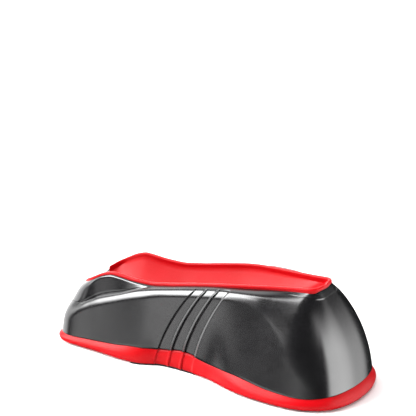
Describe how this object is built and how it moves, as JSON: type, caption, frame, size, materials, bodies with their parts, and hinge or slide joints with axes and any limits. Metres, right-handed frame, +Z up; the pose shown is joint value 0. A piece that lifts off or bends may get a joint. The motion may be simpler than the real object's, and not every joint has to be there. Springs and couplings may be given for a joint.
{
  "type": "bike trainer front riser block",
  "caption": "Free-standing moulded block with a swept channel that holds a bicycle's front wheel level while the rear wheel sits in an indoor trainer.",
  "frame": {"origin": "on the floor under the middle of the block's length and width", "axes": "+X towards the tall domed end, +Z up, +Y across the wheel's plane; the wheel stands in the plane y = 0"},
  "size_m": [0.3287, 0.129, 0.1056],
  "materials": {
    "grey_plastic": "satin moulded",
    "red_plastic": "satin moulded",
    "frame_plastic": "plain moulded",
    "foot_rubber": "matt",
    "screw_steel": "zinc plated"
  },
  "bodies": {
    "root": {"outer_casing": "grey_plastic", "wheel_cradle": "red_plastic", "base_band": "red_plastic", "support_frame": "frame_plastic", "cradle_screw_1": "screw_steel", "cradle_screw_2": "screw_steel", "cradle_screw_3": "screw_steel", "cradle_screw_4": "screw_steel", "band_screw_1": "screw_steel", "band_screw_2": "screw_steel", "band_screw_3": "screw_steel", "band_screw_4": "screw_steel", "band_screw_5": "screw_steel", "band_screw_6": "screw_steel", "foot_rear_near": "foot_rubber", "foot_waist_near": "foot_rubber", "foot_front_near": "foot_rubber", "foot_rear_far": "foot_rubber", "foot_waist_far": "foot_rubber", "foot_front_far": "foot_rubber"}
  },
  "joints": []
}
